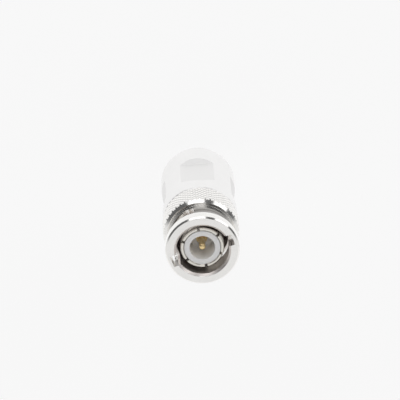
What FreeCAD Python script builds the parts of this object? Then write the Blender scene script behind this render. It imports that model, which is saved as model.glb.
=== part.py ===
import FreeCAD, Part

import math
import os

# Bayonet coaxial cable plug, standing on its cable end.
# Z is the plug's axis and points out of the mating face.
# The origin is the centre of the clamp nut's rear face. Lengths are in millimetres.
# A clock angle is seen from the mating face: 0 points along -Y and it grows clockwise.

# Fits between pieces
running_clearance = 0.05
seat_clearance = 0.02
bore_clearance = 0.10
face_gap = 0.03

# Centre pin
pin_d = 1.3
pin_tip_recess = 0.15
pin_tip_round = 0.5
pin_shaft_depth = 4.1
pin_cone_length = 0.2
pin_shoulder_d = 2.2
cup_d = 3.2
cup_length = 6.0
cup_bore_d = 2.0
cup_bore_depth = 4.5
solder_hole_d = 0.8
solder_hole_from_end = 3.2

# Insulators
sleeve_bore_d = 5.0
sleeve_bore_depth = 5.6
sleeve_wall = 1.01
sleeve_flange_thickness = 1.0
support_thickness = 3.0

# Outer contact with its spring fingers
contact_clearance = 0.04
contact_wall = 0.6
contact_tail = 3.0
collar_thickness = 0.6
finger_relief = 0.07
finger_flare = 0.10
finger_length = 8.85
finger_band = 0.9
finger_bevel = 0.15
finger_slot_width = 0.5
finger_slot_length = 6.9
finger_count = 6
finger_clock = -11.0

# Coupling nut, outside the space that the jack's barrel needs
barrel_space = 0.90
nut_length = 13.1
nut_wall = 1.10
nut_mouth_chamfer = 0.42
nut_lip_thickness = 0.8
flange_step = 0.95
flange_thickness = 2.55
flange_bevel = 0.3
grip_step = 1.225
grip_length = 5.7
grip_front_chamfer = 0.7
grip_rear_chamfer = 0.15

# Diamond knurl round the grip band
knurl_count = 45
knurl_depth = 0.22
knurl_angle = 47.0

# Bayonet channels in the coupling nut
channel_width = 2.3
channel_breakout = 0.1
entry_clock = 68.5
ramp_start_depth = 3.9
ramp_end_depth = 5.75
ramp_sweep = 80.0
detent_sweep = 89.5
detent_depth = 5.5
detent_d = 2.4
lug_count = 2

# Float of the coupling nut: two thrust washers and a wave washer
washer_thickness = 0.25
wave_height = 0.95
wave_strip = 0.2
wave_crests = 3

# Mating gasket
gasket_thickness = 0.8

# Plug body
grip_stand = 0.125
body_edge = 0.3
chamber_wall = 1.05
thread_runout = 0.6
web_thickness = 1.0
web_hole_clearance = 1.05
socket_depth = 4.0

# Four milled wrench flats on the body
flat_depth = 0.85
flat_length = 8.1
flat_from_front = 4.85
flat_end_slope = 1.2
flat_clock = -3.0
flat_count = 4

# Cable
cable_d = 7.3
cable_braid_d = 6.0
cable_clearance = 0.35
washer_clearance = 0.60
braid_clearance = 0.15

# Clamp nut at the cable end
thread_step = 0.4
clamp_thread_length = 4.6
clamp_head_inset = 0.95
clamp_head_length = 2.5
clamp_flat_depth = 0.65
clamp_flat_clock = 87.0
clamp_edge = 0.3

# Braid clamp, slip washer and clamp gasket
braid_clamp_length = 2.6
braid_cone_rise = 1.1
slip_washer_thickness = 0.8
clamp_gasket_length = 3.2

# Radii from the pin outwards
pin_hole_r = pin_shoulder_d / 2 + seat_clearance
sleeve_r = sleeve_bore_d / 2 + sleeve_wall
contact_bore_r = sleeve_r + contact_clearance
contact_neck_r = contact_bore_r + contact_wall
finger_root_r = contact_neck_r - finger_relief
finger_tip_r = contact_neck_r + finger_flare
nut_bore_r = finger_tip_r + barrel_space
nut_neck_r = nut_bore_r + nut_wall
channel_floor_r = nut_neck_r + channel_breakout
flange_r = nut_neck_r + flange_step
grip_r = nut_neck_r + grip_step
float_ring_inner_r = contact_neck_r + running_clearance
float_ring_outer_r = nut_bore_r - bore_clearance
body_r = grip_r - grip_stand
flat_r = body_r - flat_depth
chamber_r = flat_r - chamber_wall
inner_stack_r = chamber_r - seat_clearance
clamp_thread_r = chamber_r + thread_step
clamp_head_r = body_r - clamp_head_inset
entry_r = cable_d / 2 + cable_clearance
gasket_hole_r = cable_d / 2 + running_clearance
slip_hole_r = cable_d / 2 + washer_clearance
braid_hole_r = cable_braid_d / 2 + braid_clearance

# Heights from the cable end upwards
body_rear_z = clamp_head_length
clamp_front_z = body_rear_z + clamp_thread_length
slip_front_z = clamp_front_z + slip_washer_thickness
braid_rear_z = slip_front_z + clamp_gasket_length
support_rear_z = braid_rear_z + braid_clamp_length
chamber_front_z = support_rear_z + support_thickness
socket_floor_z = chamber_front_z + web_thickness
shoulder_z = socket_floor_z + socket_depth

nut_rear_z = shoulder_z + face_gap
nut_face_z = nut_rear_z + nut_length
grip_front_z = nut_rear_z + grip_length
rear_washer_z = nut_rear_z + nut_lip_thickness + face_gap
wave_z = rear_washer_z + washer_thickness + face_gap
front_washer_z = wave_z + wave_height + face_gap
collar_z = front_washer_z + washer_thickness
gasket_z = collar_z + collar_thickness
finger_tip_z = gasket_z + finger_length
pin_tip_z = finger_tip_z - pin_tip_recess


def point(radius, height):
    return FreeCAD.Vector(radius, 0, height)


def turned(outline):
    """Solid turned about Z from a closed outline of (radius, height) corners."""
    corners = [point(radius, height) for radius, height in outline]
    wire = Part.makePolygon(corners + [corners[0]])
    return Part.Face(wire).revolve(FreeCAD.Vector(0, 0, 0), FreeCAD.Vector(0, 0, 1), 360)


def ring(inner_r, outer_r, bottom, thickness):
    top = bottom + thickness
    return turned([(inner_r, bottom), (outer_r, bottom), (outer_r, top), (inner_r, top)])


def at_clock(shape, clock):
    """Turn a shape modelled on +X to its clock angle, seen from the mating face."""
    placed = shape.copy()
    placed.rotate(FreeCAD.Vector(0, 0, 0), FreeCAD.Vector(0, 0, 1), -90 - clock)
    return placed


def around(shape, count, first_clock):
    return [at_clock(shape, first_clock + 360 / count * index) for index in range(count)]


def finger_profile():
    """Section of the outer contact: press tail, neck, collar and flared finger."""
    bore = contact_bore_r
    tip = finger_tip_r
    inner_bevel = (tip - bore) / 4
    tail_z = shoulder_z - contact_tail
    return [
        (bore, tail_z),
        (contact_neck_r, tail_z),
        (contact_neck_r, collar_z),
        (float_ring_outer_r, collar_z),
        (float_ring_outer_r, gasket_z),
        (finger_root_r, gasket_z),
        (finger_root_r, finger_tip_z - finger_slot_length),
        (tip, finger_tip_z - finger_band),
        (tip, finger_tip_z - finger_bevel),
        (tip - finger_bevel, finger_tip_z),
        (bore + inner_bevel, finger_tip_z),
        (bore, finger_tip_z - inner_bevel),
    ]


def finger_slot():
    """Saw cut on +X between two fingers."""
    inner = contact_bore_r / 2
    corner = FreeCAD.Vector(inner, -finger_slot_width / 2, finger_tip_z - finger_slot_length)
    return Part.makeBox(finger_tip_r, finger_slot_width, finger_slot_length, corner)


def outer_contact():
    slots = around(finger_slot(), finger_count, finger_clock)
    return turned(finger_profile()).cut(slots)


def nut_profile():
    """Section of the coupling nut: lip, grip band, neck, flange and chamfered mouth."""
    lip_r = contact_neck_r + running_clearance
    lip_front_z = nut_rear_z + nut_lip_thickness
    flange_rear_z = nut_face_z - flange_thickness
    return [
        (lip_r, nut_rear_z),
        (grip_r + knurl_depth, nut_rear_z),
        (grip_r + knurl_depth, grip_front_z),
        (nut_neck_r, grip_front_z),
        (nut_neck_r, flange_rear_z),
        (flange_r - flange_bevel, flange_rear_z),
        (flange_r, flange_rear_z + flange_bevel),
        (flange_r, nut_face_z - flange_bevel),
        (flange_r - flange_bevel, nut_face_z),
        (nut_bore_r + nut_mouth_chamfer, nut_face_z),
        (nut_bore_r, nut_face_z - nut_mouth_chamfer),
        (nut_bore_r, lip_front_z),
        (lip_r, lip_front_z),
    ]


def knurl_ring(even_r, odd_r, height):
    """Corners round the grip band at one height, at two radii in turn."""
    corners = []
    for column in range(2 * knurl_count):
        turn = math.pi * column / knurl_count
        radius = even_r if column % 2 == 0 else odd_r
        corners.append(FreeCAD.Vector(radius * math.cos(turn), radius * math.sin(turn), height))
    return corners


def knurl_rings():
    """Rings of corners that swap crest and groove from row to row, between two plain ends."""
    groove_r = grip_r - knurl_depth
    low_z = nut_rear_z + grip_rear_chamfer
    span = grip_front_z - grip_front_chamfer - low_z
    row_height = math.pi * grip_r / knurl_count / math.tan(math.radians(knurl_angle))
    rows = max(1, round(span / row_height))
    rear_r = grip_r - grip_rear_chamfer
    front_r = grip_r - grip_front_chamfer
    rings = [knurl_ring(rear_r, rear_r, nut_rear_z)]
    for row in range(rows + 1):
        radii = (grip_r, groove_r) if row % 2 == 0 else (groove_r, grip_r)
        rings.append(knurl_ring(*radii, low_z + span * row / rows))
    rings.append(knurl_ring(front_r, front_r, grip_front_z))
    return rings


def knurl_facets(lower, upper, groove_first):
    """Facets between two rings, each square split along its groove."""
    facets = []
    count = len(lower)
    for index in range(count):
        after = (index + 1) % count
        if (index % 2 == 0) == groove_first:
            facets.append([lower[index], lower[after], upper[after]])
            facets.append([lower[index], upper[after], upper[index]])
        else:
            facets.append([lower[index], lower[after], upper[index]])
            facets.append([lower[after], upper[after], upper[index]])
    return facets


def knurled_column():
    """Solid with the knurled outside of the grip band."""
    rings = knurl_rings()
    facets = [rings[0], rings[-1]]
    for row in range(len(rings) - 1):
        facets.extend(knurl_facets(rings[row], rings[row + 1], row % 2 == 0))
    shell = Part.makeShell([Part.Face(Part.makePolygon(facet + [facet[0]])) for facet in facets])
    shell.sewShape()
    column = Part.makeSolid(shell)
    if column.Volume < 0:
        column.reverse()
    return column


def knurl_waste():
    """What the knurling takes off the turned grip band."""
    base = FreeCAD.Vector(0, 0, nut_rear_z)
    return Part.makeCylinder(grip_r + 2 * knurl_depth, grip_length, base).cut(knurled_column())


def lug_cutter(diameter, sweep, depth):
    """Round-nosed radial cut, the shape a mating lug's milling cutter leaves."""
    inner = nut_bore_r / 2
    length = channel_floor_r - inner
    base = FreeCAD.Vector(inner, 0, nut_face_z - depth)
    cutter = Part.makeCylinder(diameter / 2, length, base, FreeCAD.Vector(1, 0, 0))
    return at_clock(cutter, entry_clock + sweep)


def ramp_cutter():
    """Helical channel that draws the mating lug in as the nut is turned."""
    inner = nut_bore_r - bore_clearance
    outer = channel_floor_r
    half = channel_width / 2
    rise = ramp_end_depth - ramp_start_depth
    spine = Part.makeHelix(rise * 360 / ramp_sweep, rise, (inner + outer) / 2)
    corners = [point(inner, -half), point(outer, -half), point(outer, half), point(inner, half)]
    section = Part.makePolygon(corners + [corners[0]])
    sweep = Part.BRepOffsetAPI.MakePipeShell(Part.Wire(spine.Edges))
    sweep.setFrenetMode(True)
    sweep.add(section)
    sweep.build()
    sweep.makeSolid()
    channel = sweep.shape()
    channel.translate(FreeCAD.Vector(0, 0, nut_face_z - ramp_end_depth))
    return at_clock(channel, entry_clock + ramp_sweep)


def entry_cutter():
    """Straight notch in the mating face where a lug enters."""
    inner = nut_bore_r / 2
    corner = FreeCAD.Vector(inner, -channel_width / 2, nut_face_z - ramp_start_depth)
    length = channel_floor_r - inner
    notch = Part.makeBox(length, channel_width, ramp_start_depth + nut_mouth_chamfer, corner)
    return at_clock(notch, entry_clock)


def bayonet_cutters():
    return [
        entry_cutter(),
        lug_cutter(channel_width, 0, ramp_start_depth),
        ramp_cutter(),
        lug_cutter(channel_width, ramp_sweep, ramp_end_depth),
        lug_cutter(detent_d, detent_sweep, detent_depth),
    ]


def coupling_nut():
    nut = turned(nut_profile()).cut(knurl_waste())
    axis = FreeCAD.Vector(0, 0, 1)
    for index in range(lug_count):
        for cutter in bayonet_cutters():
            cutter.rotate(FreeCAD.Vector(0, 0, 0), axis, -360 / lug_count * index)
            nut = nut.cut(cutter)
    return nut


def wave_loop(radius, height):
    """Closed wavy curve at one radius of the wave washer."""
    swing = (wave_height - wave_strip) / 2
    steps = 12 * wave_crests
    points = []
    for index in range(steps):
        angle = 2 * math.pi * index / steps
        rise = swing * math.cos(wave_crests * angle)
        x = radius * math.cos(angle)
        y = radius * math.sin(angle)
        points.append(FreeCAD.Vector(x, y, height + swing + rise))
    curve = Part.BSplineCurve()
    curve.interpolate(Points=points, PeriodicFlag=True)
    return curve.toShape()


def wave_washer():
    """Thin ring bent into waves, which pushes the coupling nut back on its seat."""
    inner_low = wave_loop(float_ring_inner_r, wave_z)
    inner_high = wave_loop(float_ring_inner_r, wave_z + wave_strip)
    outer_low = wave_loop(float_ring_outer_r, wave_z)
    outer_high = wave_loop(float_ring_outer_r, wave_z + wave_strip)
    sides = [
        Part.makeRuledSurface(inner_low, outer_low),
        Part.makeRuledSurface(outer_low, outer_high),
        Part.makeRuledSurface(outer_high, inner_high),
        Part.makeRuledSurface(inner_high, inner_low),
    ]
    shell = Part.makeShell([face for side in sides for face in side.Faces])
    shell.sewShape()
    solid = Part.makeSolid(shell)
    solid.fix(0.001, 0.001, 0.001)
    if solid.Volume < 0:
        solid.reverse()
    return solid


def front_washer():
    return ring(float_ring_inner_r, float_ring_outer_r, front_washer_z, washer_thickness)


def rear_washer():
    return ring(float_ring_inner_r, float_ring_outer_r, rear_washer_z, washer_thickness)


def mating_gasket():
    inner = finger_root_r + seat_clearance
    return ring(inner, float_ring_outer_r, gasket_z, gasket_thickness)


def front_insulator():
    """Sleeve round the pin, open to the mating side, with a flange held under the contact."""
    bore_r = sleeve_bore_d / 2
    seat_r = contact_neck_r - seat_clearance
    seat_z = socket_floor_z + sleeve_flange_thickness
    bore_floor_z = finger_tip_z - sleeve_bore_depth
    return turned([
        (pin_hole_r, socket_floor_z),
        (seat_r, socket_floor_z),
        (seat_r, seat_z),
        (sleeve_r, seat_z),
        (sleeve_r, finger_tip_z),
        (bore_r, finger_tip_z),
        (bore_r, bore_floor_z),
        (pin_hole_r, bore_floor_z),
    ])


def pin_profile():
    """Section of the centre pin: solder cup, shoulder, cone, shaft and rounded tip."""
    shoulder_r = pin_shoulder_d / 2
    pin_r = pin_d / 2
    cup_rear_z = socket_floor_z - cup_length
    cone_front_z = finger_tip_z - pin_shaft_depth
    cone_rear_z = cone_front_z - pin_cone_length
    return [
        (cup_bore_d / 2, cup_rear_z),
        (cup_d / 2, cup_rear_z),
        (cup_d / 2, socket_floor_z),
        (shoulder_r, socket_floor_z),
        (shoulder_r, cone_rear_z),
        (pin_r, cone_front_z),
        (pin_r, pin_tip_z - pin_tip_round),
    ]


def centre_pin():
    cup_rear_z = socket_floor_z - cup_length
    cup_floor_z = cup_rear_z + cup_bore_depth
    pin_r = pin_d / 2
    nose_r = pin_r - pin_tip_round
    bend = pin_tip_round * math.sqrt(0.5)
    start = point(pin_r, pin_tip_z - pin_tip_round)
    middle = point(nose_r + bend, pin_tip_z - pin_tip_round + bend)
    end = point(nose_r, pin_tip_z)
    corners = [point(radius, height) for radius, height in pin_profile()]
    outline = Part.makePolygon(corners).Edges
    outline.append(Part.Arc(start, middle, end).toShape())
    closing = [end, point(0, pin_tip_z), point(0, cup_floor_z), point(cup_bore_d / 2, cup_floor_z), corners[0]]
    outline.extend(Part.makePolygon(closing).Edges)
    section = Part.Face(Part.Wire(outline))
    pin = section.revolve(FreeCAD.Vector(0, 0, 0), FreeCAD.Vector(0, 0, 1), 360)
    hole_base = FreeCAD.Vector(0, 0, cup_rear_z + solder_hole_from_end)
    hole = Part.makeCylinder(solder_hole_d / 2, cup_d, hole_base, FreeCAD.Vector(0, -1, 0))
    return pin.cut(hole)


def body_profile():
    """Section of the plug body: threaded cable end, chamber, web and contact socket."""
    thread_r = clamp_thread_r + seat_clearance
    socket_r = contact_neck_r + seat_clearance
    web_r = cup_d / 2 + web_hole_clearance
    thread_end_z = clamp_front_z + thread_runout
    return [
        (thread_r, body_rear_z),
        (body_r - body_edge, body_rear_z),
        (body_r, body_rear_z + body_edge),
        (body_r, shoulder_z - body_edge),
        (body_r - body_edge, shoulder_z),
        (socket_r, shoulder_z),
        (socket_r, socket_floor_z),
        (web_r, socket_floor_z),
        (web_r, chamber_front_z),
        (chamber_r, chamber_front_z),
        (chamber_r, thread_end_z),
        (thread_r, thread_end_z),
    ]


def wrench_flat():
    """One milled flat on +X, with ends that slope up to the round of the body."""
    front_z = shoulder_z - flat_from_front
    rear_z = front_z - flat_length
    outer_r = body_r + flat_depth
    slope = 2 * flat_end_slope
    outline = [
        point(flat_r, rear_z),
        point(outer_r, rear_z - slope),
        point(outer_r, front_z + slope),
        point(flat_r, front_z),
    ]
    face = Part.Face(Part.makePolygon(outline + [outline[0]]))
    face.translate(FreeCAD.Vector(0, -body_r, 0))
    return face.extrude(FreeCAD.Vector(0, 2 * body_r, 0))


def plug_body():
    flats = around(wrench_flat(), flat_count, flat_clock)
    return turned(body_profile()).cut(flats)


def rear_insulator():
    hole_r = cup_d / 2 + seat_clearance
    return ring(hole_r, inner_stack_r, support_rear_z, support_thickness)


def braid_clamp():
    """Ring with a cone that spreads the cable's braid against the rear insulator."""
    cone_r = braid_hole_r + braid_cone_rise / 2
    cone_z = braid_rear_z + braid_cone_rise
    return turned([
        (braid_hole_r, braid_rear_z),
        (inner_stack_r, braid_rear_z),
        (inner_stack_r, cone_z),
        (cone_r, support_rear_z),
        (braid_hole_r, support_rear_z),
    ])


def clamp_gasket():
    """Rubber ring that grips the cable jacket."""
    return ring(gasket_hole_r, inner_stack_r, slip_front_z, clamp_gasket_length)


def slip_washer():
    return ring(slip_hole_r, inner_stack_r, clamp_front_z, slip_washer_thickness)


def clamp_nut_profile():
    return [
        (entry_r + clamp_edge, 0),
        (clamp_head_r - clamp_edge, 0),
        (clamp_head_r, clamp_edge),
        (clamp_head_r, body_rear_z),
        (clamp_thread_r, body_rear_z),
        (clamp_thread_r, clamp_front_z - clamp_edge),
        (clamp_thread_r - clamp_edge, clamp_front_z),
        (entry_r, clamp_front_z),
        (entry_r, clamp_edge),
    ]


def clamp_nut():
    corner = FreeCAD.Vector(clamp_head_r - clamp_flat_depth, -clamp_head_r, 0)
    waste = Part.makeBox(clamp_head_r, 2 * clamp_head_r, clamp_head_length, corner)
    return turned(clamp_nut_profile()).cut(around(waste, 2, clamp_flat_clock))


def save(name, shape):
    solids = shape.Solids
    if len(solids) != 1 or not shape.isValid():
        raise ValueError(name + " is not one valid solid")
    solids[0].exportStep(os.path.join("parts", name + ".step"))
    print(name, round(solids[0].Volume, 3))


def main():
    os.makedirs("parts", exist_ok=True)
    save("coupling_nut", coupling_nut())
    save("rear_thrust_washer", rear_washer())
    save("wave_washer", wave_washer())
    save("front_thrust_washer", front_washer())
    save("mating_gasket", mating_gasket())
    save("outer_contact", outer_contact())
    save("front_insulator", front_insulator())
    save("centre_pin", centre_pin())
    save("plug_body", plug_body())
    save("rear_insulator", rear_insulator())
    save("braid_clamp", braid_clamp())
    save("clamp_gasket", clamp_gasket())
    save("slip_washer", slip_washer())
    save("clamp_nut", clamp_nut())


main()
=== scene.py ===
import math

import bmesh
import bpy
from mathutils import Matrix, Vector


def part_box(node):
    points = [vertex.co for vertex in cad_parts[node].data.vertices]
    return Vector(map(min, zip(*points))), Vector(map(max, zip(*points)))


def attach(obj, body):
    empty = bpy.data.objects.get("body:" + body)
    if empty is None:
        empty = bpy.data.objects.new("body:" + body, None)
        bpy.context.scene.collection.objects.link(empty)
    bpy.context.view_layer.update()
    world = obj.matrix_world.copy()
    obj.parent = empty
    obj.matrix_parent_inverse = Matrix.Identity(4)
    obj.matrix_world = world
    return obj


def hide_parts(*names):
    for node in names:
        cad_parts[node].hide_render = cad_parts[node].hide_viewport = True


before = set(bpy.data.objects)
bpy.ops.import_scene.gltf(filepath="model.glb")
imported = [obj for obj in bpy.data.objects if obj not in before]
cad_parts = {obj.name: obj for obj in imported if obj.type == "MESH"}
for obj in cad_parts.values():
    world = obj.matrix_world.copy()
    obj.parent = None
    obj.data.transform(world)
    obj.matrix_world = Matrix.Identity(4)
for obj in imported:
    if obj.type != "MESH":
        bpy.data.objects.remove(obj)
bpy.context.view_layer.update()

bl_info = {
    "name": "Bayonet Coaxial Cable Plug",
    "version": (1, 0, 0),
    "blender": (4, 5, 0),
    "location": "3D View > Sidebar > Cable Plug",
    "description": "Finishes of a bayonet coaxial cable plug and the stage it stands on",
    "category": "Object",
}

MM = 0.001
WELD = 1e-6

# Shape of the grip band on the coupling nut: lengths from the nut's rear face, radii from the axis
GRIP_LENGTH = 5.7 * MM
GRIP_R = 7.475 * MM
GRIP_FRONT_CHAMFER = 0.7 * MM
GRIP_REAR_CHAMFER = 0.15 * MM
NECK_R = 6.25 * MM
SEGMENTS_PER_TOOTH = 4
CUTTER_REACH = 0.6 * MM
EDGE_ANGLE = math.radians(25)

# Coupling nut beyond its grip band
MOUTH_R = 5.6 * MM
FLANGE_LENGTH = 2.55 * MM

# Tint and added roughness of the coupling nut's zones. The dark tints of the neck, the entry notches
# and the grooves are painted shade; the bore's tint and the added roughness are a duller plating.
NUT_ZONES = {
    "Bore": ((0.92, 0.875, 0.86), 0.27),
    "Neck": ((0.20, 0.19, 0.18), 0.13),
    "Notch": ((0.40, 0.39, 0.385), 0.06),
    "Groove": ((0.26, 0.25, 0.26), 0.05),
}

# How thick the zones' skins are, over what depth the bore fades in, and the spacing of the streaks
# that break up the neck's painted shade
FACE_SKIN = 0.03 * MM
BORE_FADE = 0.05 * MM
NECK_SKIN = 0.06 * MM
NECK_STREAKS = 0.35 * MM

# Share of the groove depth at which the painted shade in a groove begins, and at which the outer skin
# ends
GROOVE_SHADE_START = 0.80
GROOVE_SHADE_LIMIT = 1.6

# Body and the stretch of it that its wrench flats take
BODY_R = 7.35 * MM
FLAT_FROM = 7.0 * MM
FLAT_TO = 18.5 * MM
# Painted shade: the milled flats are drawn this much darker than the rest of the body
FLAT_PAINTED_SHADE = 0.94
FLAT_SKIN = 0.02 * MM
FLAT_FADE = 0.03 * MM

# Turned finishes: roughness, spacing and depth of the tool marks, radius of the soft edge
TURNED_FINISHES = {
    "polished_nickel": (0.13, 0.06 * MM, 0.0012 * MM, 0.10 * MM),
    "contact_plating": (0.20, 0.07 * MM, 0.002 * MM, 0.15 * MM),
    "gold_plating": (0.22, 0.05 * MM, 0.0015 * MM, 0.04 * MM),
    "spring_metal": (0.30, 0.10 * MM, 0.002 * MM, 0.03 * MM),
    "inner_brass": (0.26, 0.09 * MM, 0.003 * MM, 0.05 * MM),
}

# Where the camera stands, in metres, and how it is turned
CAMERA_PLACE = (0.01628, -0.26243, 0.57343)
CAMERA_RIGHT = (-0.99952, 0.00306, 0.03079)
CAMERA_UP = (-0.0158, -0.90608, -0.42281)
CAMERA_BACK = (0.0266, -0.4231, 0.90569)
SENSOR = 36.0

# Softboxes: spans of clock angle and of elevation in degrees, and the setting of their level
SOFTBOXES = {
    "Wide softbox": ((-31, 9.5), (10, 45), "softbox_level"),
    "Narrow softbox": ((31, 66), (10, 45), "softbox_level"),
    "Fill softbox": ((-20, 20), (52, 80), "fill_level"),
}
SOFTBOX_DISTANCE = 0.8
FLOOR_RADIUS = 4.0
FLOOR_SEGMENTS = 96

# Room: white that the camera sees, and the stretches of Y and of Z over which it turns light
BACKDROP = 0.96
LIGHT_BEHIND = (-0.10, 0.25)
LIGHT_BELOW = (0.16, 0.09)

FLOAT = "NodeSocketFloat"
INT = "NodeSocketInt"
VECTOR = "NodeSocketVector"
GEOMETRY = "NodeSocketGeometry"


class CoaxGripSettings(bpy.types.PropertyGroup):
    """Knurl of the coupling nut's grip band"""
    teeth: bpy.props.IntProperty(
        name="Teeth", description="Diamonds once round the grip band", default=45, min=12, max=120)
    rows: bpy.props.IntProperty(
        name="Rows", description="Rows of half diamonds between the band's two chamfers",
        default=10, min=1, max=30)
    groove_depth: bpy.props.FloatProperty(
        name="Groove depth", description="Depth of the knurl's grooves below the band",
        default=0.22 * MM, unit="LENGTH")
    crest_trim: bpy.props.FloatProperty(
        name="Crest trim", description="How much of each diamond's point the band's surface cuts off",
        default=0.04 * MM, unit="LENGTH")


class CoaxFinishSettings(bpy.types.PropertyGroup):
    """Colours of the plug's finishes"""
    polished_nickel: bpy.props.FloatVectorProperty(
        name="Polished nickel", description="Colour of the coupling nut", subtype="COLOR",
        default=(0.90, 0.89, 0.87), min=0, max=1)
    satin_nickel: bpy.props.FloatVectorProperty(
        name="Satin nickel", description="Colour of the body and the clamp nut", subtype="COLOR",
        default=(0.90, 0.895, 0.89), min=0, max=1)
    contact_plating: bpy.props.FloatVectorProperty(
        name="Contact plating", description="Colour of the slotted outer contact", subtype="COLOR",
        default=(0.77, 0.745, 0.69), min=0, max=1)
    gold_plating: bpy.props.FloatVectorProperty(
        name="Gold plating", description="Colour of the centre pin", subtype="COLOR",
        default=(0.86, 0.67, 0.36), min=0, max=1)
    white_ptfe: bpy.props.FloatVectorProperty(
        name="White insulator", description="Colour of the two insulators", subtype="COLOR",
        default=(0.97, 0.965, 0.96), min=0, max=1)
    gasket_rubber: bpy.props.FloatVectorProperty(
        name="Gasket rubber", description="Colour of the two gaskets", subtype="COLOR",
        default=(0.12, 0.09, 0.085), min=0, max=1)
    spring_metal: bpy.props.FloatVectorProperty(
        name="Spring metal", description="Colour of the wave washer and thrust washers",
        subtype="COLOR", default=(0.58, 0.56, 0.53), min=0, max=1)
    inner_brass: bpy.props.FloatVectorProperty(
        name="Inner brass", description="Colour of the plated braid clamp and slip washer",
        subtype="COLOR", default=(0.78, 0.76, 0.71), min=0, max=1)


class CoaxStageSettings(bpy.types.PropertyGroup):
    """Floor, lamps, room and lens"""
    floor_colour: bpy.props.FloatVectorProperty(
        name="Floor", description="Colour of the floor", subtype="COLOR",
        default=(0.92, 0.92, 0.925), min=0, max=1)
    floor_white: bpy.props.FloatProperty(
        name="Floor white", description="Share of plain white that the floor shows",
        default=0.85, min=0, max=1, subtype="FACTOR")
    softbox_level: bpy.props.FloatProperty(
        name="Softbox level", description="Brightness of the two softboxes, 1 being white",
        default=1.3, min=0)
    fill_level: bpy.props.FloatProperty(
        name="Fill level", description="Brightness of the softbox above the camera",
        default=1.2, min=0)
    room_light: bpy.props.FloatProperty(
        name="Light side", description="Brightness of the room behind the plug",
        default=0.84, min=0, max=1, subtype="FACTOR")
    room_dark: bpy.props.FloatProperty(
        name="Dark side", description="Brightness of the room between the softboxes",
        default=0.12, min=0, max=1, subtype="FACTOR")
    lens: bpy.props.FloatProperty(
        name="Lens", description="Focal length on a 36 mm sensor", default=279.0, unit="CAMERA")


# ---- Node helpers

def add_node(tree, kind, inputs=None, **settings):
    """New node with its settings, its input values and the sockets linked to its inputs."""
    made = tree.nodes.new(kind)
    for name, value in settings.items():
        setattr(made, name, value)
    for key, value in (inputs or {}).items():
        if isinstance(value, bpy.types.NodeSocket):
            tree.links.new(value, made.inputs[key])
        else:
            made.inputs[key].default_value = value
    return made


def maths(tree, operation, *values):
    """Output socket of a Math node, in a shader tree or a geometry tree."""
    inputs = dict(enumerate(values))
    return add_node(tree, "ShaderNodeMath", inputs, operation=operation).outputs[0]


def vector_maths(tree, operation, *values):
    """Output socket of a Vector Math node."""
    made = add_node(tree, "ShaderNodeVectorMath", dict(enumerate(values)), operation=operation)
    return made.outputs["Value" if operation in ("LENGTH", "DOT_PRODUCT") else "Vector"]


def separate(tree, vector):
    """X, Y and Z of a vector."""
    return add_node(tree, "ShaderNodeSeparateXYZ", {0: vector}).outputs


def combine(tree, x, y, z):
    """Vector of three values."""
    return add_node(tree, "ShaderNodeCombineXYZ", {0: x, 1: y, 2: z}).outputs[0]


def sideways(tree, vector):
    """Part of a vector that stands square to the plug's axis."""
    return vector_maths(tree, "MULTIPLY", vector, (1, 1, 0))


def from_axis(tree, vector):
    """Distance of a place from the plug's axis."""
    return vector_maths(tree, "LENGTH", sideways(tree, vector))


def map_range(tree, value, start, end, to_start=0.0, to_end=1.0, **settings):
    """Value carried from one range over to another."""
    inputs = {0: value, 1: start, 2: end, 3: to_start, 4: to_end}
    return add_node(tree, "ShaderNodeMapRange", inputs, **settings).outputs[0]


def within(tree, value, low, high):
    """Mask of the places where a value lies between two limits."""
    above = maths(tree, "GREATER_THAN", value, low)
    return maths(tree, "MULTIPLY", above, maths(tree, "LESS_THAN", value, high))


def faded(tree, depth, reach):
    """Mask that rises from 0 at no depth to 1 at the end of its reach."""
    share = maths(tree, "DIVIDE", depth, reach)
    return add_node(tree, "ShaderNodeClamp", {0: share}).outputs[0]


def noise(tree, place, scale, detail, **more):
    """Height of a noise pattern. Further inputs are named as the node names them."""
    inputs = {"Vector": place, "Scale": scale, "Detail": detail, **more}
    return add_node(tree, "ShaderNodeTexNoise", inputs).outputs[0]


def new_group(name, kind, inputs, outputs):
    """Empty node group with its named sockets. Each input is (name, socket type, default)."""
    tree = bpy.data.node_groups.new(name, kind)
    for label, socket_type, default in inputs:
        socket = tree.interface.new_socket(label, in_out="INPUT", socket_type=socket_type)
        if default is not None:
            socket.default_value = default
    for label, socket_type in outputs:
        tree.interface.new_socket(label, in_out="OUTPUT", socket_type=socket_type)
    start = tree.nodes.new("NodeGroupInput")
    end = tree.nodes.new("NodeGroupOutput")
    return tree, start.outputs, end.inputs


def use_group(tree, name, inputs):
    """Outputs of a shader group placed in a tree with its own values."""
    return add_node(tree, "ShaderNodeGroup", inputs, node_tree=bpy.data.node_groups[name]).outputs


# ---- Shader groups

def build_turned_grain():
    """Fine marks that run round the axis, as a lathe tool leaves them."""
    tree, given, result = new_group(
        "Turned Grain", "ShaderNodeTree",
        [("Vector", VECTOR, None), ("Spacing", FLOAT, 0.08 * MM)],
        [("Height", FLOAT), ("Mask", FLOAT)])
    x, y, z = separate(tree, given["Vector"])
    radius = maths(tree, "DIVIDE", from_axis(tree, given["Vector"]), given["Spacing"])
    height = maths(tree, "DIVIDE", z, given["Spacing"])
    slow = maths(tree, "MULTIPLY", maths(tree, "ADD", x, y), 1 / (6 * MM))
    rings = noise(tree, combine(tree, radius, height, slow), 0.5, 3.0, Roughness=0.6)
    tree.links.new(rings, result["Height"])
    tree.links.new(map_range(tree, rings, 0.52, 0.72), result["Mask"])


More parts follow.
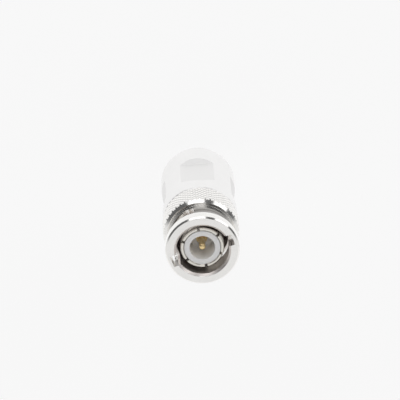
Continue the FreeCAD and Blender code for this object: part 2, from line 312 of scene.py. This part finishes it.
def build_blasted_grain():
    """Even matt grain of a blasted and plated surface, with a slow change of tone."""
    tree, given, result = new_group(
        "Blasted Grain", "ShaderNodeTree",
        [("Vector", VECTOR, None), ("Grain", FLOAT, 0.05 * MM)],
        [("Height", FLOAT), ("Tone", FLOAT)])
    scale = maths(tree, "DIVIDE", 1.0, given["Grain"])
    grain = noise(tree, given["Vector"], scale, 2.0)
    cells = add_node(tree, "ShaderNodeTexVoronoi", {"Vector": given["Vector"], "Scale": scale})
    pits = maths(tree, "MULTIPLY", cells.outputs["Distance"], 0.4)
    tree.links.new(maths(tree, "ADD", grain, pits), result["Height"])
    tree.links.new(noise(tree, given["Vector"], 1 / (5 * MM), 4.0), result["Tone"])


def build_handling_marks():
    """Soft smudges from handling."""
    tree, given, result = new_group(
        "Handling Marks", "ShaderNodeTree",
        [("Vector", VECTOR, None), ("Smudge Size", FLOAT, 3 * MM)],
        [("Smudge", FLOAT)])
    scale = maths(tree, "DIVIDE", 1.0, given["Smudge Size"])
    cloud = noise(tree, given["Vector"], scale, 5.0, Roughness=0.62, Distortion=0.4)
    tree.links.new(map_range(tree, cloud, 0.48, 0.70), result["Smudge"])


def build_soft_edge():
    """Slightly rounded edge: a normal that turns across each edge and a mask of where it does."""
    tree, given, result = new_group(
        "Soft Edge", "ShaderNodeTree",
        [("Radius", FLOAT, 0.06 * MM)],
        [("Normal", VECTOR), ("Edge", FLOAT)])
    rounded = add_node(tree, "ShaderNodeBevel", {"Radius": given["Radius"]}, samples=6).outputs[0]
    plain = tree.nodes.new("ShaderNodeNewGeometry").outputs["Normal"]
    turn = vector_maths(tree, "DOT_PRODUCT", rounded, plain)
    tree.links.new(rounded, result["Normal"])
    tree.links.new(map_range(tree, turn, 0.995, 0.90), result["Edge"])


def build_milling_marks():
    """Lines that a milling cutter leaves on the flats of a turned body, with a mask of the flats."""
    tree, given, result = new_group(
        "Milling Marks", "ShaderNodeTree",
        [("Vector", VECTOR, None), ("Body Radius", FLOAT, 7 * MM),
         ("From", FLOAT, 0.0), ("To", FLOAT, 10 * MM)],
        [("Flat", FLOAT), ("Height", FLOAT)])
    height = separate(tree, given["Vector"])[2]
    sunk = maths(tree, "SUBTRACT", given["Body Radius"], from_axis(tree, given["Vector"]))
    stretch = within(tree, height, given["From"], given["To"])
    flat = maths(tree, "MULTIPLY", faded(tree, sunk, FLAT_FADE), stretch)
    tree.links.new(flat, result["Flat"])
    stretched = vector_maths(tree, "MULTIPLY", given["Vector"], (0.12, 0.12, 1.0))
    lines = noise(tree, stretched, 1 / (0.16 * MM), 2.0)
    tree.links.new(maths(tree, "MULTIPLY", lines, flat), result["Height"])


def build_nut_zones():
    """Masks of the coupling nut's bore and of the painted shade on its neck, darker towards the
    flange, in its entry notches and in the grooves of its grip band."""
    tree, given, result = new_group(
        "Nut Zones", "ShaderNodeTree",
        [("Vector", VECTOR, None), ("Bore Radius", FLOAT, 6 * MM), ("Neck Radius", FLOAT, 6 * MM),
         ("Grip Radius", FLOAT, 7 * MM), ("Front", FLOAT, 34 * MM), ("Neck Top", FLOAT, 32 * MM),
         ("Neck Bottom", FLOAT, 27 * MM), ("Band Top", FLOAT, 26 * MM),
         ("Band Bottom", FLOAT, 22 * MM), ("Groove Depth", FLOAT, 0.2 * MM)],
        [("Bore", FLOAT), ("Neck", FLOAT), ("Notch", FLOAT), ("Groove", FLOAT)])
    height = separate(tree, given["Vector"])[2]
    away = from_axis(tree, given["Vector"])

    inside = faded(tree, maths(tree, "SUBTRACT", given["Bore Radius"], away), BORE_FADE)
    bore = maths(tree, "MULTIPLY", inside, maths(tree, "LESS_THAN", height, given["Front"]))
    tree.links.new(bore, result["Bore"])

    # Painted shade on the neck, stronger towards the flange
    skin = maths(tree, "COMPARE", away, given["Neck Radius"], NECK_SKIN)
    rise = map_range(tree, height, given["Neck Bottom"], given["Neck Top"], 0.75, 1.5)
    shaded = maths(tree, "MULTIPLY", skin, maths(tree, "MINIMUM", rise, 1.0))
    neck = within(tree, height, given["Neck Bottom"], given["Neck Top"])
    tree.links.new(maths(tree, "MULTIPLY", neck, shaded), result["Neck"])

    # Painted shade on the walls of the entry notches, outside the bore within the flange
    walls = maths(tree, "MULTIPLY", maths(tree, "LESS_THAN", away, given["Neck Radius"]),
                  maths(tree, "SUBTRACT", 1.0, inside))
    flange = within(tree, height, given["Neck Top"], given["Front"])
    tree.links.new(maths(tree, "MULTIPLY", walls, flange), result["Notch"])

    # Painted shade in the knurl's grooves, deeper grooves darker
    sunk = maths(tree, "DIVIDE", maths(tree, "SUBTRACT", given["Grip Radius"], away),
                 given["Groove Depth"])
    lines = map_range(tree, sunk, GROOVE_SHADE_START, 1.0)
    band = within(tree, height, given["Band Bottom"], given["Band Top"])
    outer = maths(tree, "MULTIPLY", band, maths(tree, "LESS_THAN", sunk, GROOVE_SHADE_LIMIT))
    tree.links.new(maths(tree, "MULTIPLY", outer, lines), result["Groove"])


# ---- Materials

def new_material(name):
    """Material with an empty tree but for its Principled BSDF, and the object's own coordinates."""
    made = bpy.data.materials.new(name)
    made.use_nodes = True
    tree = made.node_tree
    shader = tree.nodes["Principled BSDF"]
    place = tree.nodes.new("ShaderNodeTexCoord").outputs["Object"]
    return made, tree, shader, place


def mixed(tree, factor, first, second):
    """Colour between two colours."""
    made = add_node(tree, "ShaderNodeMix", data_type="RGBA")
    tree.links.new(factor, made.inputs["Factor"])
    for key, value in (("A", first), ("B", second)):
        socket = next(s for s in made.inputs if s.name == key and s.type == "RGBA")
        if isinstance(value, bpy.types.NodeSocket):
            tree.links.new(value, socket)
        else:
            socket.default_value = (*value[:3], 1)
    return next(s for s in made.outputs if s.type == "RGBA")


def shade(colour, factor):
    """Colour made darker or lighter, never past white."""
    return tuple(min(1.0, part * factor) for part in colour[:3])


def tinted(colour, tint):
    """Colour multiplied by a tint."""
    return tuple(part * share for part, share in zip(colour, tint))


def roughened(tree, roughness, mask, amount):
    """Roughness with more of it where a mask is set."""
    return maths(tree, "ADD", roughness, maths(tree, "MULTIPLY", mask, amount))


def dress(tree, shader, colour, roughness, height, depth, normal=None):
    """Lead a finish's colour, roughness and relief to its shader."""
    tree.links.new(colour, shader.inputs["Base Color"])
    tree.links.new(roughness, shader.inputs["Roughness"])
    bump = add_node(tree, "ShaderNodeBump", {"Height": height, "Distance": depth})
    if normal:
        tree.links.new(normal, bump.inputs["Normal"])
    tree.links.new(bump.outputs[0], shader.inputs["Normal"])


def turned_metal(name, colour, roughness, spacing, depth, edge_radius, zones=None):
    """Plated metal straight from the lathe. In the coupling nut's zones it is duller, the bore a
    little darker, and the neck, entry notches and knurl grooves carry painted shade.
    """
    made, tree, shader, place = new_material(name)
    grain = use_group(tree, "Turned Grain", {"Vector": place, "Spacing": spacing})
    marks = use_group(tree, "Handling Marks", {"Vector": place})
    edge = use_group(tree, "Soft Edge", {"Radius": edge_radius})
    toned = mixed(tree, marks["Smudge"], colour, shade(colour, 0.95))
    toned = mixed(tree, edge["Edge"], toned, shade(colour, 1.05))
    rough = roughened(tree, roughness, marks["Smudge"], roughness * 0.35)
    rough = roughened(tree, rough, grain["Mask"], roughness * 0.5)
    if zones:
        masks = use_group(tree, "Nut Zones", {"Vector": place, **zones})
        bands = use_group(tree, "Turned Grain", {"Vector": place, "Spacing": NECK_STREAKS})
        streaks = map_range(tree, bands["Height"], 0.36, 0.62, 0.66, 1.0)
        for zone, (tint, dullness) in NUT_ZONES.items():
            amount = masks[zone]
            # The neck's painted shade follows the turning streaks
            if zone == "Neck":
                amount = maths(tree, "MULTIPLY", amount, streaks)
            toned = mixed(tree, amount, toned, tinted(colour, tint))
            rough = roughened(tree, rough, amount, dullness)
    dress(tree, shader, toned, rough, grain["Height"], depth, edge["Normal"])
    shader.inputs["Metallic"].default_value = 1.0
    return made


def satin_metal(name, colour):
    """Plated metal with a fine even matt surface and milled flats, which carry painted shade."""
    made, tree, shader, place = new_material(name)
    roughness = 0.42
    grain = use_group(tree, "Blasted Grain", {"Vector": place, "Grain": 0.06 * MM})
    milled = use_group(tree, "Milling Marks", {
        "Vector": place, "Body Radius": BODY_R - FLAT_SKIN, "From": FLAT_FROM, "To": FLAT_TO})
    marks = use_group(tree, "Handling Marks", {"Vector": place, "Smudge Size": 4 * MM})
    edge = use_group(tree, "Soft Edge", {"Radius": 0.08 * MM})
    toned = mixed(tree, grain["Tone"], shade(colour, 0.97), shade(colour, 1.03))
    toned = mixed(tree, edge["Edge"], toned, shade(colour, 1.06))
    # Painted shade on the milled flats
    toned = mixed(tree, milled["Flat"], toned, shade(colour, FLAT_PAINTED_SHADE))
    rough = roughened(tree, roughness, edge["Edge"], -roughness * 0.4)
    rough = roughened(tree, rough, marks["Smudge"], 0.06)
    relief = maths(tree, "ADD", grain["Height"], milled["Height"])
    dress(tree, shader, toned, rough, relief, 0.004 * MM, edge["Normal"])
    shader.inputs["Metallic"].default_value = 1.0
    return made


def insulator_plastic(name, colour):
    """Waxy white fluoroplastic with faint turning rings."""
    made, tree, shader, place = new_material(name)
    grain = use_group(tree, "Turned Grain", {"Vector": place, "Spacing": 0.12 * MM})
    marks = use_group(tree, "Handling Marks", {"Vector": place, "Smudge Size": 2 * MM})
    toned = mixed(tree, marks["Smudge"], colour, shade(colour, 0.96))
    rough = roughened(tree, 0.60, grain["Mask"], 0.12)
    dress(tree, shader, toned, rough, grain["Height"], 0.004 * MM)
    shader.inputs["Subsurface Weight"].default_value = 0.25
    shader.inputs["Subsurface Radius"].default_value = (1.0, 0.95, 0.9)
    shader.inputs["Subsurface Scale"].default_value = 0.4 * MM
    shader.inputs["IOR"].default_value = 1.35
    return made


def moulded_rubber(name, colour):
    """Dull moulded rubber with a fine skin and a little bloom."""
    made, tree, shader, place = new_material(name)
    grain = use_group(tree, "Blasted Grain", {"Vector": place, "Grain": 0.07 * MM})
    bloom = mixed(tree, grain["Tone"], colour, shade(colour, 1.8))
    rough = roughened(tree, 0.55, grain["Tone"], 0.25)
    dress(tree, shader, bloom, rough, grain["Height"], 0.01 * MM)
    return made


def nut_zones():
    """Where the zones of the coupling nut lie."""
    low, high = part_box("coupling_nut")
    return {
        "Bore Radius": MOUTH_R,
        "Neck Radius": NECK_R,
        "Grip Radius": GRIP_R,
        "Front": high.z - FACE_SKIN,
        "Neck Top": high.z - FLANGE_LENGTH,
        "Neck Bottom": low.z + GRIP_LENGTH,
        "Band Top": low.z + GRIP_LENGTH - GRIP_FRONT_CHAMFER,
        "Band Bottom": low.z + GRIP_REAR_CHAMFER,
        "Groove Depth": bpy.context.scene.coax_grip.groove_depth,
    }


MADE = {}


def material(name):
    """Material of one finish, made at its first use."""
    if name not in MADE:
        colour = getattr(bpy.context.scene.coax_finish, name)
        if name == "polished_nickel":
            MADE[name] = turned_metal(name, colour, *TURNED_FINISHES[name], nut_zones())
        elif name in TURNED_FINISHES:
            MADE[name] = turned_metal(name, colour, *TURNED_FINISHES[name])
        else:
            maker = {"satin_nickel": satin_metal, "white_ptfe": insulator_plastic,
                     "gasket_rubber": moulded_rubber}[name]
            MADE[name] = maker(name, colour)
    return MADE[name]


def finish_nodes(material_name, *node_names):
    """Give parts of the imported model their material."""
    for node_name in node_names:
        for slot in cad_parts[node_name].material_slots:
            slot.material = material(material_name)


# ---- Coupling nut

def welded_copy(node_name):
    """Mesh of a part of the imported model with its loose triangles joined."""
    mesh = bmesh.new()
    mesh.from_mesh(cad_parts[node_name].data)
    bmesh.ops.remove_doubles(mesh, verts=mesh.verts, dist=WELD)
    return mesh


def circle_of(mesh, radius, height, count):
    """Vertices of a level circle round the axis."""
    made = []
    for index in range(count):
        angle = 2 * math.pi * index / count
        place = (radius * math.cos(angle), radius * math.sin(angle), height)
        made.append(mesh.verts.new(place))
    return made


def join_circles(mesh, lower, upper):
    """Faces between two circles, pointing outwards when the upper one is further along +Z."""
    count = len(lower)
    for index in range(count):
        after = (index + 1) % count
        mesh.faces.new((lower[index], lower[after], upper[after], upper[index]))


def loop_edges(circle):
    """Edges between the neighbours of a circle's vertices."""
    made = []
    for first, second in zip(circle, circle[1:] + circle[:1]):
        made.append(next(edge for edge in first.link_edges if edge.other_vert(first) is second))
    return made


def fill_ring(mesh, circle, border, normal):
    """Flat ring of faces between a circle and the border edges at its height."""
    edges = loop_edges(circle) + border
    bmesh.ops.triangle_fill(mesh, use_beauty=True, edges=edges, normal=normal)


def nut_blank(segments):
    """The coupling nut before knurling: its grip band turned anew with fine segments."""
    mesh = welded_copy("coupling_nut")
    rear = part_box("coupling_nut")[0].z
    front = rear + GRIP_LENGTH
    slack = 0.01 * MM
    old = []
    for face in mesh.faces:
        centre = face.calc_center_median()
        outside = centre.to_2d().length > NECK_R + slack and centre.z < front + slack
        if outside or all(abs(corner.co.z - rear) < slack for corner in face.verts):
            old.append(face)
    bmesh.ops.delete(mesh, geom=old, context="FACES")
    border = [edge for edge in mesh.edges if edge.is_boundary]
    at_front = [edge for edge in border if all(abs(v.co.z - front) < slack for v in edge.verts)]
    at_rear = [edge for edge in border if all(abs(v.co.z - rear) < slack for v in edge.verts)]
    outline = [
        (GRIP_R - GRIP_REAR_CHAMFER, rear),
        (GRIP_R, rear + GRIP_REAR_CHAMFER),
        (GRIP_R, front - GRIP_FRONT_CHAMFER),
        (GRIP_R - GRIP_FRONT_CHAMFER, front),
    ]
    circles = [circle_of(mesh, radius, height, segments) for radius, height in outline]
    for lower, upper in zip(circles, circles[1:]):
        join_circles(mesh, lower, upper)
    fill_ring(mesh, circles[-1], at_front, (0, 0, 1))
    fill_ring(mesh, circles[0], at_rear, (0, 0, -1))
    bmesh.ops.recalc_face_normals(mesh, faces=mesh.faces)
    made = bpy.data.meshes.new("coupling_nut_knurled")
    mesh.to_mesh(made)
    mesh.free()
    return made


def build_knurl_tree():
    """Geometry nodes that cut a diamond knurl into a turned blank."""
    tree, given, result = new_group(
        "Diamond Knurl", "GeometryNodeTree",
        [("Blank", GEOMETRY, None), ("Teeth", INT, 45), ("Rows", INT, 10),
         ("First Row", FLOAT, 0.0), ("Row Height", FLOAT, 0.5 * MM),
         ("Crest Radius", FLOAT, 7.5 * MM), ("Depth", FLOAT, 0.2 * MM),
         ("Finish", "NodeSocketMaterial", None)],
        [("Geometry", GEOMETRY)])

    # A grid of half diamonds with one more row past each end of the band
    columns = maths(tree, "MULTIPLY", given["Teeth"], 2.0)
    rows = maths(tree, "ADD", given["Rows"], 2.0)
    grid = add_node(tree, "GeometryNodeMeshGrid", {
        "Size X": columns, "Size Y": rows,
        "Vertices X": maths(tree, "ADD", columns, 1.0),
        "Vertices Y": maths(tree, "ADD", rows, 1.0)})
    here = tree.nodes.new("GeometryNodeInputPosition").outputs[0]
    flat_x, flat_y, _ = separate(tree, here)
    column = maths(tree, "ADD", flat_x, maths(tree, "DIVIDE", columns, 2.0))
    row = maths(tree, "ADD", flat_y, maths(tree, "DIVIDE", rows, 2.0))
    row = maths(tree, "SUBTRACT", row, 1.0)

    # It is curled round the axis, with its grooves sunk, and its seam is closed
    groove = maths(tree, "PINGPONG", maths(tree, "ADD", column, row), 1.0)
    sunk = maths(tree, "MULTIPLY", given["Depth"], groove)
    radius = maths(tree, "SUBTRACT", given["Crest Radius"], sunk)
    angle = maths(tree, "MULTIPLY", maths(tree, "DIVIDE", column, columns), 2 * math.pi)
    climb = maths(tree, "MULTIPLY", row, given["Row Height"])
    curled = combine(
        tree,
        maths(tree, "MULTIPLY", radius, maths(tree, "COSINE", angle)),
        maths(tree, "MULTIPLY", radius, maths(tree, "SINE", angle)),
        maths(tree, "ADD", given["First Row"], climb))
    wrapped = add_node(tree, "GeometryNodeSetPosition",
                       {"Geometry": grid.outputs[0], "Position": curled})
    closed = add_node(tree, "GeometryNodeMergeByDistance",
                      {"Geometry": wrapped.outputs[0], "Distance": WELD})
    inner = add_node(tree, "GeometryNodeTriangulate", {0: closed.outputs[0]},
                     quad_method="SHORTEST_DIAGONAL")

    # It is thickened outwards into a cutter that takes the grooves off the blank
    reach = maths(tree, "ADD", given["Crest Radius"], CUTTER_REACH)
    short = maths(tree, "SUBTRACT", reach, from_axis(tree, here))
    outwards = vector_maths(tree, "NORMALIZE", sideways(tree, here))
    offset = add_node(tree, "ShaderNodeVectorMath", {0: outwards, "Scale": short},
                      operation="SCALE")
    outer = add_node(tree, "GeometryNodeExtrudeMesh", {
        "Mesh": inner.outputs[0], "Offset": offset.outputs[0], "Offset Scale": 1.0,
        "Individual": False})
    flipped = add_node(tree, "GeometryNodeFlipFaces", {"Mesh": inner.outputs[0]})
    both = tree.nodes.new("GeometryNodeJoinGeometry")
    tree.links.new(outer.outputs["Mesh"], both.inputs[0])
    tree.links.new(flipped.outputs[0], both.inputs[0])
    cutter = add_node(tree, "GeometryNodeMergeByDistance",
                      {"Geometry": both.outputs[0], "Distance": WELD})
    cut = add_node(tree, "GeometryNodeMeshBoolean",
                   {"Mesh 1": given["Blank"], "Mesh 2": cutter.outputs[0]},
                   operation="DIFFERENCE", solver="EXACT")
    real = add_node(tree, "GeometryNodeRealizeInstances", {0: cut.outputs[0]})
    painted = add_node(tree, "GeometryNodeSetMaterial",
                       {"Geometry": real.outputs[0], "Material": given["Finish"]})
    tree.links.new(painted.outputs[0], result["Geometry"])
    return tree


def apply_nodes(piece, tree, values):
    """Run a geometry tree on a piece and keep the result as its plain mesh."""
    modifier = piece.modifiers.new(tree.name, "NODES")
    modifier.node_group = tree
    for item in tree.interface.items_tree:
        if item.item_type == "SOCKET" and item.in_out == "INPUT" and item.name in values:
            modifier[item.identifier] = values[item.name]
    bpy.context.view_layer.update()
    shown = piece.evaluated_get(bpy.context.evaluated_depsgraph_get())
    result = bpy.data.meshes.new_from_object(shown)
    piece.modifiers.remove(modifier)
    result.name = piece.data.name
    piece.data = result


def crisp(mesh):
    """Smooth faces that break only at real edges."""
    work = bmesh.new()
    work.from_mesh(mesh)
    bmesh.ops.remove_doubles(work, verts=work.verts, dist=WELD)
    bmesh.ops.dissolve_degenerate(work, dist=WELD / 2, edges=work.edges)
    for face in work.faces:
        face.smooth = True
    for edge in work.edges:
        edge.smooth = not (len(edge.link_faces) == 2 and edge.calc_face_angle() > EDGE_ANGLE)
    work.to_mesh(mesh)
    work.free()


def new_piece(name, mesh):
    """Object of its own name in the scene, at the origin."""
    piece = bpy.data.objects.new(name, mesh)
    bpy.context.scene.collection.objects.link(piece)
    return piece


class CoaxCouplingNut(bpy.types.Operator):
    """Knurl the coupling nut's grip band and give the nut its polished finish"""
    bl_idname = "coax.coupling_nut"
    bl_label = "Coupling nut"

    def execute(self, context):
        grip = context.scene.coax_grip
        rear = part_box("coupling_nut")[0].z
        piece = new_piece("coupling_nut_knurled", nut_blank(grip.teeth * SEGMENTS_PER_TOOTH))
        knurled_length = GRIP_LENGTH - GRIP_REAR_CHAMFER - GRIP_FRONT_CHAMFER
        apply_nodes(piece, build_knurl_tree(), {
            "Teeth": grip.teeth,
            "Rows": grip.rows,
            "First Row": rear + GRIP_REAR_CHAMFER,
            "Row Height": knurled_length / grip.rows,
            "Crest Radius": GRIP_R + grip.crest_trim,
            "Depth": grip.groove_depth + grip.crest_trim,
            "Finish": material("polished_nickel"),
        })
        crisp(piece.data)
        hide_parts("coupling_nut")
        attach(piece, "coupling_nut")
        return {"FINISHED"}


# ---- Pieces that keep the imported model's shape

class CoaxBody(bpy.types.Operator):
    """Give the plug body and the clamp nut their satin finish"""
    bl_idname = "coax.body"
    bl_label = "Body and clamp nut"

    def execute(self, context):
        finish_nodes("satin_nickel", "plug_body", "clamp_nut")
        return {"FINISHED"}


class CoaxContacts(bpy.types.Operator):
    """Give the outer contact and the centre pin their plating"""
    bl_idname = "coax.contacts"
    bl_label = "Contacts"

    def execute(self, context):
        finish_nodes("contact_plating", "outer_contact")
        finish_nodes("gold_plating", "centre_pin")
        return {"FINISHED"}


class CoaxInsulators(bpy.types.Operator):
    """Give the two insulators their white plastic"""
    bl_idname = "coax.insulators"
    bl_label = "Insulators"

    def execute(self, context):
        finish_nodes("white_ptfe", "front_insulator", "rear_insulator")
        return {"FINISHED"}


class CoaxFloatRings(bpy.types.Operator):
    """Give the wave washer and the two thrust washers their spring metal"""
    bl_idname = "coax.float_rings"
    bl_label = "Float rings"

    def execute(self, context):
        finish_nodes("spring_metal", "rear_thrust_washer", "wave_washer", "front_thrust_washer")
        return {"FINISHED"}


class CoaxCableClamp(bpy.types.Operator):
    """Give the gaskets their rubber and the braid clamp and slip washer their brass"""
    bl_idname = "coax.cable_clamp"
    bl_label = "Gaskets and cable clamp"

    def execute(self, context):
        finish_nodes("gasket_rubber", "mating_gasket", "clamp_gasket")
        finish_nodes("inner_brass", "braid_clamp", "slip_washer")
        return {"FINISHED"}


# ---- Stage

def clock_direction(clock, elevation):
    """Direction from the plug at a clock angle seen from its mating face and an elevation."""
    turn, rise = math.radians(clock), math.radians(elevation)
    level = math.cos(rise)
    return Vector((-math.sin(turn) * level, -math.cos(turn) * level, math.sin(rise)))


def add_softbox(name, clock_span, rise_span, level):
    """Area lamp that fills its two spans, at a brightness where 1 is white."""
    middle = sum(rise_span) / 2
    towards = clock_direction(sum(clock_span) / 2, middle)
    width = math.radians(clock_span[1] - clock_span[0]) * math.cos(math.radians(middle))
    data = bpy.data.lights.new(name, "AREA")
    data.shape = "RECTANGLE"
    data.size = 2 * SOFTBOX_DISTANCE * math.tan(width / 2)
    data.size_y = 2 * SOFTBOX_DISTANCE * math.tan(math.radians(rise_span[1] - rise_span[0]) / 2)
    data.energy = level * math.pi * data.size * data.size_y
    lamp = bpy.data.objects.new(name, data)
    lamp.location = towards * SOFTBOX_DISTANCE
    lamp.rotation_mode = "QUATERNION"
    lamp.rotation_quaternion = towards.to_track_quat("Z", "Y")
    lamp.visible_camera = False
    bpy.context.scene.collection.objects.link(lamp)


def build_world(stage):
    """Room that is light behind the plug and near the floor, dark between the softboxes and
    white to the camera."""
    world = bpy.data.worlds.new("Studio")
    world.use_nodes = True
    tree = world.node_tree
    _, y, z = separate(tree, tree.nodes.new("ShaderNodeTexCoord").outputs["Generated"])
    behind = map_range(tree, y, *LIGHT_BEHIND, interpolation_type="SMOOTHSTEP")
    low = map_range(tree, z, *LIGHT_BELOW, interpolation_type="SMOOTHSTEP")
    light = maths(tree, "MAXIMUM", behind, low)
    span = stage.room_light - stage.room_dark
    level = maths(tree, "ADD", stage.room_dark, maths(tree, "MULTIPLY", light, span))
    seen = tree.nodes.new("ShaderNodeLightPath").outputs["Is Camera Ray"]
    level = maths(tree, "MAXIMUM", level, maths(tree, "MULTIPLY", seen, BACKDROP))
    tree.links.new(level, tree.nodes["Background"].inputs["Strength"])
    tree.nodes["Background"].inputs["Color"].default_value = (1, 1, 1, 1)
    bpy.context.scene.world = world


def floor_material(stage):
    """Pale floor that keeps the plug's shadow and looks white to the camera and in the metal."""
    made, tree, shader, place = new_material("pale_floor")
    cloud = noise(tree, place, 8.0, 3.0)
    tone = mixed(tree, cloud, shade(stage.floor_colour, 0.99), stage.floor_colour)
    tree.links.new(tone, shader.inputs["Base Color"])
    shader.inputs["Roughness"].default_value = 0.6
    path = tree.nodes.new("ShaderNodeLightPath").outputs
    seen = maths(tree, "MULTIPLY", path["Is Camera Ray"], stage.floor_white)
    mirrored = maths(tree, "MAXIMUM", path["Is Glossy Ray"], path["Is Transmission Ray"])
    share = maths(tree, "MAXIMUM", seen, mirrored)
    glow = add_node(tree, "ShaderNodeEmission", {"Color": (1, 1, 1, 1), "Strength": 1.0})
    both = add_node(tree, "ShaderNodeMixShader",
                    {0: share, 1: shader.outputs[0], 2: glow.outputs[0]})
    tree.links.new(both.outputs[0], tree.nodes["Material Output"].inputs["Surface"])
    return made


def add_floor(stage):
    """Round floor under the plug."""
    mesh = bmesh.new()
    bmesh.ops.create_circle(mesh, cap_ends=True, segments=FLOOR_SEGMENTS, radius=FLOOR_RADIUS)
    data = bpy.data.meshes.new("floor")
    mesh.to_mesh(data)
    mesh.free()
    data.materials.append(floor_material(stage))
    new_piece("floor", data)


def add_camera(lens):
    """Camera at the photograph's viewing angle."""
    data = bpy.data.cameras.new("Camera")
    data.sensor_width = SENSOR
    data.lens = lens
    data.clip_start = 0.01
    data.clip_end = 20.0
    camera = bpy.data.objects.new("Camera", data)
    turn = Matrix((CAMERA_RIGHT, CAMERA_UP, CAMERA_BACK)).transposed()
    camera.matrix_world = Matrix.Translation(CAMERA_PLACE) @ turn.to_4x4()
    bpy.context.scene.collection.objects.link(camera)
    bpy.context.scene.camera = camera


class CoaxStage(bpy.types.Operator):
    """Lay the floor, hang the softboxes and place the camera"""
    bl_idname = "coax.stage"
    bl_label = "Stage"

    def execute(self, context):
        stage = context.scene.coax_stage
        add_floor(stage)
        for name, (clock_span, rise_span, setting) in SOFTBOXES.items():
            add_softbox(name, clock_span, rise_span, getattr(stage, setting))
        build_world(stage)
        add_camera(stage.lens)
        context.scene.view_settings.view_transform = "Standard"
        return {"FINISHED"}


# ---- Add-on

class CoaxPanel(bpy.types.Panel):
    """Sizes, colours and steps of the cable plug"""
    bl_idname = "VIEW3D_PT_coax"
    bl_label = "Cable Plug"
    bl_space_type = "VIEW_3D"
    bl_region_type = "UI"
    bl_category = "Cable Plug"

    def draw(self, context):
        layout = self.layout
        for setting in SETTINGS:
            group = getattr(context.scene, setting)
            box = layout.box()
            for name in group.__annotations__:
                box.prop(group, name)
        for operator in OPERATORS:
            layout.operator(operator.bl_idname)


SETTINGS = {
    "coax_grip": CoaxGripSettings,
    "coax_finish": CoaxFinishSettings,
    "coax_stage": CoaxStageSettings,
}
OPERATORS = (
    CoaxCouplingNut, CoaxBody, CoaxContacts, CoaxInsulators, CoaxFloatRings, CoaxCableClamp,
    CoaxStage,
)


def register():
    for cls in (*SETTINGS.values(), *OPERATORS, CoaxPanel):
        bpy.utils.register_class(cls)
    for name, cls in SETTINGS.items():
        setattr(bpy.types.Scene, name, bpy.props.PointerProperty(type=cls))


def unregister():
    for name in SETTINGS:
        delattr(bpy.types.Scene, name)
    for cls in reversed((*SETTINGS.values(), *OPERATORS, CoaxPanel)):
        bpy.utils.unregister_class(cls)


def main():
    """Build the shader groups and run each step in order."""
    register()
    for build in (build_turned_grain, build_blasted_grain, build_handling_marks, build_soft_edge,
                  build_nut_zones, build_milling_marks):
        build()
    bpy.ops.coax.coupling_nut()
    bpy.ops.coax.body()
    bpy.ops.coax.contacts()
    bpy.ops.coax.insulators()
    bpy.ops.coax.float_rings()
    bpy.ops.coax.cable_clamp()
    bpy.ops.coax.stage()


if __name__ == "__main__":
    main()
